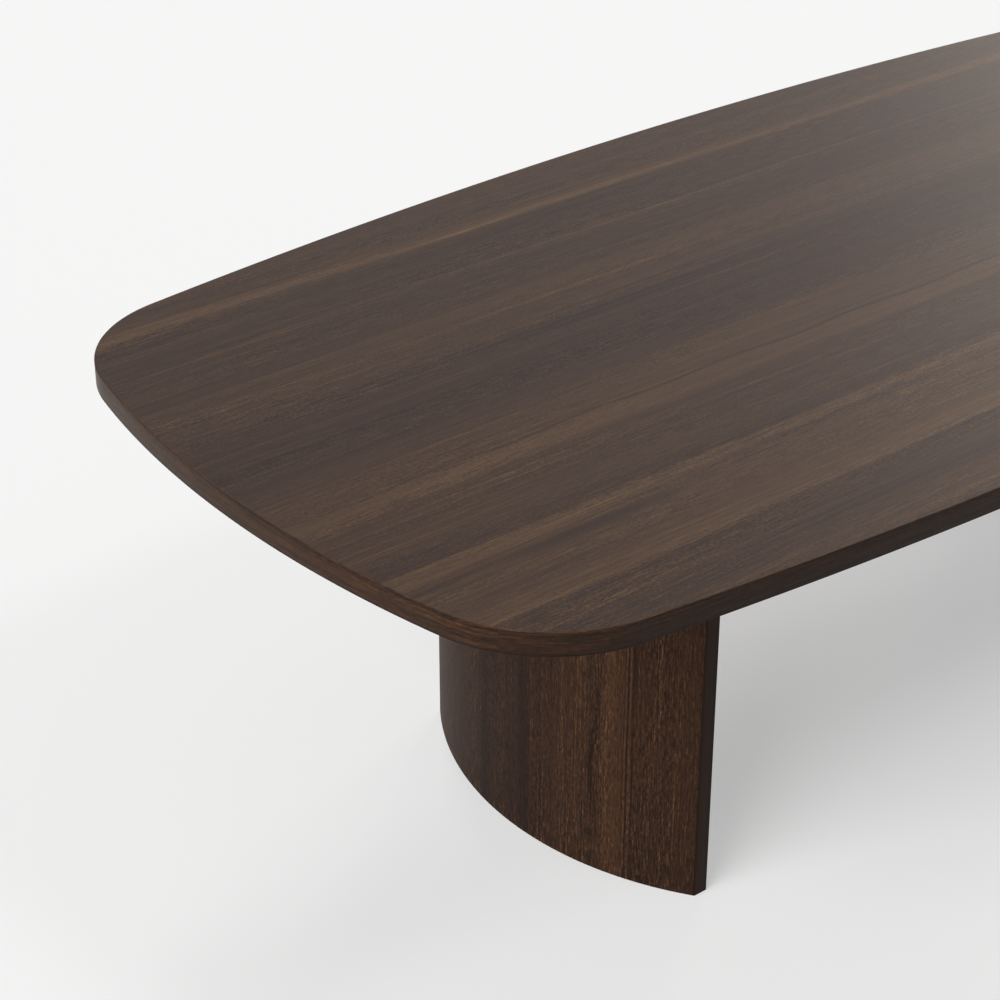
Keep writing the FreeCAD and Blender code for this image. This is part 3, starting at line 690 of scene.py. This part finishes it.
# tones round an edge strip's section, from its bottom over the outside to its upper face: painted shade
# towards the lower arris, on the end strips painted shade growing towards the upper arris, and a lighter
# upper face, which is painted light
END_EDGE_PAINTED_SHADING = [
    (0.0, 0.14), (0.0024, 0.16), (0.005, 0.30), (0.009, 0.38), (0.022, 0.38),
    (0.030, 0.32), (0.0346, 0.27), (0.0362, 0.60), (0.038, 0.66),
]
SIDE_EDGE_PAINTED_SHADING = [
    (0.0, 0.14), (0.0024, 0.16), (0.005, 0.28), (0.009, 0.38),
    (0.0344, 0.38), (0.0360, 0.80), (0.038, 0.86),
]
EDGE_LINES = {
    "bands": ((1.5, 120.0), 0.20),
    "fibres": ((10.0, 500.0), 0.003),
    "lines": ((2.5, 190.0), 0.24),
    "hatch": ((16.0, 260.0), 0.13),
    "ticks": ((90.0, 320.0), 0.50),
    "flecks": ((20.0, 300.0), 0.20),
    "pores": ((40.0, 1100.0), 0.10),
}
WALNUT_END_EDGE = veneer(
    "smoked_walnut_end_edge",
    ("UV", "X", "Y"),
    [(0.0, 0.36), (0.008, 0.38), (0.014, 0.37), (0.022, 0.46), (0.030, 0.42), (0.036, 0.36)],
    SMOKED_EDGE,
    EDGE_LINES,
    [(0.0, 0.6), (0.04, 0.6)],
    # darker towards both seams: painted shade that runs into the shaded long strips
    lengthwise=[(0.0, 0.30), (0.12, 0.37), (0.30, 0.38), (0.71, 0.38), (0.89, 0.37), (1.01, 0.30)],
    border=END_EDGE_PAINTED_SHADING,
    wander=0.003,
    IOR=1.2,
)
# the front and back strips: the end strips' walnut at much lower tones, which is painted shade on the
# long sides; along the strip the tones rise towards both corners, which is painted light where the strip
# turns towards the ends
WALNUT_SIDE_EDGE_IN_PAINTED_SHADE = veneer(
    "smoked_walnut_side_edge_painted_shade",
    ("UV", "X", "Y"),
    [(0.0, 0.18), (0.008, 0.19), (0.014, 0.17), (0.022, 0.24), (0.030, 0.20), (0.036, 0.20)],
    SMOKED_EDGE,
    EDGE_LINES,
    [(0.0, 0.5), (0.04, 0.5)],
    lengthwise=[
        (0.0, 0.47), (0.08, 0.43), (0.20, 0.37), (0.40, 0.34),
        (2.13, 0.34), (2.33, 0.37), (2.45, 0.43), (2.53, 0.47),
    ],
    border=SIDE_EDGE_PAINTED_SHADING,
    wander=0.003,
    IOR=1.2,
)
WALNUT_LEG = veneer(
    "smoked_walnut_leg",
    ("UV", "Y", "X"),
    [
        (0.0, 0.42), (0.020, 0.40), (0.036, 0.38), (0.075, 0.37), (0.100, 0.34), (0.106, 0.54),
        (0.118, 0.60), (0.134, 0.70), (0.148, 0.60), (0.154, 0.42), (0.180, 0.42), (0.215, 0.46),
        (0.231, 0.46), (0.240, 0.34), (0.262, 0.33), (0.272, 0.26), (0.286, 0.24), (0.292, 0.17),
        (0.304, 0.18), (0.312, 0.27), (0.350, 0.26), (0.376, 0.24), (0.384, 0.14), (0.402, 0.15),
        (0.412, 0.31), (0.50, 0.34), (0.58, 0.42), (0.66, 0.35),
    ],
    SMOKED_LEG_IN_PAINTED_SHADE,
    {
        "bands": ((0.8, 50.0), 0.12),
        "fibres": ((6.0, 260.0), 0.010),
        "lines": ((1.6, 240.0), 0.24),
        "hatch": ((40.0, 380.0), 0.165),
        "ticks": ((120.0, 520.0), 0.72),
        "flecks": ((46.0, 380.0), 0.30),
        "pores": ((40.0, 800.0), 0.10),
    },
    [
        (0.0, 1.0), (0.09, 0.9), (0.11, 0.2), (0.148, 0.2),
        (0.17, 1.0), (0.28, 0.9), (0.32, 0.5), (0.66, 0.5),
    ],
    lines=[
        ((0.21, 0.161), (0.16, 0.0065), 0.30, -0.005, 0.24),
        ((0.30, 0.1105), (0.60, 0.0014), -0.22, 0.0006, 0.50),
        ((0.25, 0.1070), (0.45, 0.0016), 0.42, 0.0006, 0.50),
        ((0.30, 0.1035), (0.60, 0.0014), -0.24, 0.0006, 0.50),
        ((0.40, 0.0985), (0.40, 0.0035), 0.18, 0.0006, 0.50),
    ],
    # darker towards the floor: painted shade on the lower part of the leg
    lengthwise=[(0.0, 0.32), (0.11, 0.34), (0.21, 0.365), (0.31, 0.385), (0.42, 0.40), (0.706, 0.40)],
    figure=(0.6, 1.5),
    gloss=(0.48, 0.60),
    IOR=1.15,
)
WALNUT_LEG_END = veneer(
    "smoked_walnut_leg_end",
    ("UV", "Y", "X"),
    # near black over both eased arrises: the dark joint line with the face veneers, widened over the
    # arrises as painted shade
    [
        (0.0, 0.02), (0.0024, 0.02), (0.0032, 0.25), (0.010, 0.29),
        (0.0191, 0.25), (0.0199, 0.02), (0.024, 0.02),
    ],
    SMOKED_LEG_IN_PAINTED_SHADE,
    {
        "bands": ((1.0, 120.0), 0.06),
        "fibres": ((6.0, 400.0), 0.0),
        "lines": ((2.0, 300.0), 0.05),
        "hatch": ((14.0, 400.0), 0.025),
        "ticks": ((60.0, 500.0), 0.10),
        "flecks": ((18.0, 500.0), 0.06),
        "pores": ((26.0, 1000.0), 0.05),
    },
    [(0.0, 0.5), (0.06, 0.5)],
    wander=0.0,
    IOR=1.15,
)
WALNUT_UNDERSIDE = veneer(
    "smoked_walnut_underside",
    ("Object", "X", "Y"),
    [
        (-0.611, 0.30), (-0.42, 0.34), (-0.30, 0.26), (-0.10, 0.34),
        (0.08, 0.28), (0.30, 0.36), (0.45, 0.28), (0.611, 0.32),
    ],
    SMOKED_TOP,
    {
        "bands": ((0.5, 40.0), 0.14),
        "fibres": ((7.0, 220.0), 0.010),
        "lines": ((1.5, 150.0), 0.15),
        "hatch": ((18.0, 240.0), 0.05),
        "ticks": ((120.0, 300.0), 0.20),
        "flecks": ((12.0, 240.0), 0.08),
        "pores": ((28.0, 900.0), 0.10),
    },
    [(-0.611, 0.5), (0.611, 0.5)],
    IOR=1.2,
)


def plywood():
    """Moulded plywood: plies as rings about the nearer leg's axis, by turns pale and brown."""
    ply_thickness = 0.0014
    brown = (0.27, 0.165, 0.085)
    pale = (0.56, 0.40, 0.24)
    material, tree, shader = new_finish("moulded_plywood", Roughness=0.75)
    place = add_node(tree, "ShaderNodeTexCoord").outputs["Object"]
    axes = add_node(tree, "ShaderNodeSeparateXYZ", {"Vector": place}).outputs
    from_axis = calc(tree, "SUBTRACT", calc(tree, "ABSOLUTE", axes["X"]), LEG_AXIS)
    squares = [calc(tree, "MULTIPLY", offset, offset) for offset in (from_axis, axes["Y"])]
    radius = calc(tree, "SQRT", total(tree, squares))
    fibre = stretched_noise(tree, place, (900.0, 900.0, 60.0), detail=3.0)
    frayed = calc(tree, "ADD", radius, swing(tree, fibre, 0.0001))
    ply = calc(tree, "PINGPONG", frayed, ply_thickness)
    layer = spread(tree, ply, 0.00055, 0.00085)
    shade = total(tree, [calc(tree, "MULTIPLY", layer, 0.6), swing(tree, fibre, 0.25), 0.2])
    tree.links.new(ramp(tree, shade, [(0.0, brown), (1.0, pale)]), shader.inputs["Base Color"])
    add_relief(tree, shader, shade, strength=0.4, depth=0.0001)
    return material


def beech(name, scale):
    """Oiled beech: a pinkish ground, soft bands along the grain and many short brown rays."""
    material, tree, shader = new_finish(name, Roughness=0.5)
    place = add_node(tree, "ShaderNodeTexCoord").outputs["Object"]
    bands = stretched_noise(tree, place, scale, detail=3.0)
    rays = stretched_noise(tree, place, tuple(6.0 * cells for cells in scale), detail=1.0)
    dark_rays = spread(tree, rays, 0.58, 0.68, 0.0, -0.35)
    tone = total(tree, [bands, dark_rays])
    stops = [(0.1, (0.24, 0.125, 0.062)), (0.5, (0.42, 0.255, 0.145)), (0.8, (0.52, 0.345, 0.21))]
    tree.links.new(ramp(tree, tone, stops), shader.inputs["Base Color"])
    add_relief(tree, shader, tone, strength=0.25, depth=0.0001)
    return material


def speckled(name, cells, dark, light, depth, roughness, **sockets):
    """A finish of fine speckle between two colours, with the same speckle as relief and in its gloss."""
    material, tree, shader = new_finish(name, **sockets)
    place = add_node(tree, "ShaderNodeTexCoord").outputs["Object"]
    grain = stretched_noise(tree, place, cells, detail=3.0, roughness=0.6)
    tree.links.new(ramp(tree, grain, [(0.3, dark), (0.7, light)]), shader.inputs["Base Color"])
    tree.links.new(spread(tree, grain, 0.3, 0.7, *roughness), shader.inputs["Roughness"])
    add_relief(tree, shader, grain, strength=0.4, depth=depth)
    return material


MOULDED_PLYWOOD = plywood()
CLEAT_BEECH = beech("oiled_beech", (60.0, 9.0, 60.0))
DOWEL_BEECH = beech("dowel_beech", (160.0, 160.0, 14.0))
FIBREBOARD = speckled(
    "raw_fibreboard",
    cells=(700.0, 700.0, 900.0),
    dark=(0.26, 0.175, 0.105),
    light=(0.44, 0.32, 0.21),
    depth=0.0001,
    roughness=(0.8, 0.95),
)
BLACK_POWDER = speckled(
    "black_powder_coat",
    cells=(1500.0, 1500.0, 1500.0),
    dark=(0.014, 0.014, 0.015),
    light=(0.026, 0.026, 0.028),
    depth=0.00008,
    roughness=(0.45, 0.62),
)
ZINC_PLATE = speckled(
    "bright_zinc",
    cells=(500.0, 500.0, 500.0),
    dark=(0.46, 0.47, 0.48),
    light=(0.62, 0.62, 0.61),
    depth=0.00002,
    roughness=(0.24, 0.42),
    Metallic=1.0,
)
INSERT_BRASS = speckled(
    "turned_brass",
    cells=(60.0, 60.0, 2500.0),
    dark=(0.52, 0.37, 0.15),
    light=(0.68, 0.51, 0.25),
    depth=0.00002,
    roughness=(0.25, 0.42),
    Metallic=1.0,
)
GLIDE_NYLON = speckled(
    "moulded_nylon",
    cells=(1200.0, 1200.0, 1200.0),
    dark=(0.024, 0.024, 0.025),
    light=(0.038, 0.038, 0.04),
    depth=0.00004,
    roughness=(0.42, 0.58),
)

# build

top_face()
edge_strip("right", -SEAM_ANGLE, SEAM_ANGLE, WALNUT_END_EDGE)
edge_strip("back", SEAM_ANGLE, math.pi - SEAM_ANGLE, WALNUT_SIDE_EDGE_IN_PAINTED_SHADE)
edge_strip("left", math.pi - SEAM_ANGLE, math.pi + SEAM_ANGLE, WALNUT_END_EDGE)
edge_strip("front", math.pi + SEAM_ANGLE, 2 * math.pi - SEAM_ANGLE, WALNUT_SIDE_EDGE_IN_PAINTED_SHADE)
for rail, y in (("front", -RAIL_OFFSET), ("back", RAIL_OFFSET)):
    rail_screws(rail, y)
# each leg's ends from -Y to +Y in the left leg's frame
for side, ends in (("left", ("front", "middle", "back")), ("right", ("back", "middle", "front"))):
    leg_skin(side, "outer", LEG_OUTER_RADIUS, LEG_OUTER_RADIUS - LEG_VENEER)
    leg_skin(side, "inner", LEG_INNER_RADIUS + LEG_VENEER, LEG_INNER_RADIUS)
    leg_end_strip(side, ends[0], -1)
    leg_end_strip(side, ends[2], 1)
    leg_bolts(side)
    flat_washers(side)
    spring_washers(side)
    cleat_screws(side)
    for end, turn in zip(ends, (-LEVELLER_ANGLE, 0.0, LEVELLER_ANGLE)):
        leveller(side, end, turn)

# solids that stay as they are, with their finishes
KEPT_SOLIDS = {
    "top_core": FIBREBOARD,
    "top_underside_veneer": WALNUT_UNDERSIDE,
    "front_stiffener_rail": BLACK_POWDER,
    "back_stiffener_rail": BLACK_POWDER,
}
for side in ("left", "right"):
    KEPT_SOLIDS[f"{side}_leg_core"] = MOULDED_PLYWOOD
    KEPT_SOLIDS[f"{side}_leg_cleat"] = CLEAT_BEECH
    KEPT_SOLIDS[f"{side}_leg_dowels"] = DOWEL_BEECH
    KEPT_SOLIDS[f"{side}_leg_top_inserts"] = INSERT_BRASS
    KEPT_SOLIDS[f"{side}_leveller_inserts"] = INSERT_BRASS
for node, finish in KEPT_SOLIDS.items():
    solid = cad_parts[node]
    solid.data.materials.clear()
    solid.data.materials.append(finish)


# studio: a pale floor, an even sky and far lights, two of which the top reflects

def seen_directly(tree):
    """One for rays from the camera, a mirror or glass, and nothing for rays that carry light."""
    ray = add_node(tree, "ShaderNodeLightPath").outputs
    seen = calc(tree, "MAXIMUM", ray["Is Camera Ray"], ray["Is Glossy Ray"])
    return calc(tree, "MAXIMUM", seen, ray["Is Transmission Ray"])


def studio_floor():
    """A broad flat floor, seen only from above. Its paleness lifts the shadow as it is seen."""
    sides = np.array([-FLOOR_REACH, FLOOR_REACH])
    x, y = np.meshgrid(sides, sides)
    points = np.stack([x.ravel(), y.ravel(), np.zeros(4)], axis=1)
    mesh = bpy.data.meshes.new("studio_floor")
    mesh.from_pydata(points.tolist(), [], [[0, 1, 3, 2]])
    floor = bpy.data.objects.new("studio_floor", mesh)
    bpy.context.collection.objects.link(floor)
    material, tree, shader = new_finish("floor_paper", Base_Color=(*FLOOR_GREY, 1), Roughness=0.9)
    pale = add_node(tree, "ShaderNodeEmission", {"Color": (*FLOOR_GREY, 1), "Strength": 1.0})
    lift = calc(tree, "MULTIPLY", seen_directly(tree), FLOOR_LIFT)
    mixed = {0: lift, 1: shader.outputs[0], 2: pale.outputs[0]}
    paper = add_node(tree, "ShaderNodeMixShader", mixed).outputs[0]
    below = add_node(tree, "ShaderNodeNewGeometry").outputs["Backfacing"]
    clear = add_node(tree, "ShaderNodeBsdfTransparent").outputs[0]
    floor_paper = add_node(tree, "ShaderNodeMixShader", {0: below, 1: paper, 2: clear})
    tree.links.new(floor_paper.outputs[0], tree.nodes["Material Output"].inputs["Surface"])
    mesh.materials.append(material)


def studio_sky():
    """Even soft light from all round, behind a pale backdrop."""
    world = bpy.data.worlds.new("studio_sky")
    bpy.context.scene.world = world
    world.use_nodes = True
    tree = world.node_tree
    light = add_node(tree, "ShaderNodeBackground", {"Color": (*SKY_GREY, 1), "Strength": 1.0})
    backdrop = add_node(tree, "ShaderNodeBackground", {"Color": (*BACKDROP_GREY, 1), "Strength": 1.0})
    mixed = {0: seen_directly(tree), 1: light.outputs[0], 2: backdrop.outputs[0]}
    sky = add_node(tree, "ShaderNodeMixShader", mixed)
    tree.links.new(sky.outputs[0], tree.nodes["World Output"].inputs["Surface"])


def far_light(name, bearing, height, spread_angle, strength, colour=(1.0, 1.0, 1.0), reflected=False):
    """Light from far away, softened over an angle. Unless it is reflected, it leaves no glare on the top.

    The bearing is counted from +X towards +Y. All angles are in degrees."""
    data = bpy.data.lights.new(name, "SUN")
    data.angle = math.radians(spread_angle)
    data.energy = strength
    data.color = colour
    lamp = bpy.data.objects.new(name, data)
    bpy.context.collection.objects.link(lamp)
    lamp.rotation_euler = (math.radians(90 - height), 0, math.radians(bearing + 90))
    lamp.visible_glossy = reflected


FLOOR_REACH = 16.0
FLOOR_GREY = (0.915, 0.915, 0.915)
FLOOR_LIFT = 0.42
SKY_GREY = (0.25, 0.25, 0.25)
BACKDROP_GREY = (0.90, 0.90, 0.90)
WARM_LIGHT = (1.0, 0.93, 0.86)
studio_floor()
studio_sky()
far_light("left_light", bearing=190, height=25, spread_angle=50, strength=3.75)
far_light("back_light", bearing=60, height=48, spread_angle=12, strength=0.46)
far_light("front_light", bearing=300, height=55, spread_angle=12, strength=0.31)
# two lights side by side, which the top reflects as one broad sheen
for name, bearing in (("right_light", 16), ("back_right_light", 32)):
    far_light(
        name,
        bearing,
        height=14.9,
        spread_angle=15,
        strength=0.43,
        colour=WARM_LIGHT,
        reflected=True,
    )

# the camera looks along a bearing, counted from +X towards +Y, and down by a tilt, in degrees
CAMERA_PLACE = (-2.6874, -2.3837, 2.3372)
CAMERA_BEARING = 51.28
CAMERA_TILT = 29.98
camera_data = bpy.data.cameras.new("photo_camera")
camera_data.sensor_width = 36
camera_data.lens = 90.46
camera = bpy.data.objects.new("photo_camera", camera_data)
bpy.context.collection.objects.link(camera)
camera.location = CAMERA_PLACE
camera.rotation_euler = (math.radians(90 - CAMERA_TILT), 0, math.radians(CAMERA_BEARING - 90))
bpy.context.scene.camera = camera
bpy.context.scene.view_settings.view_transform = "Standard"
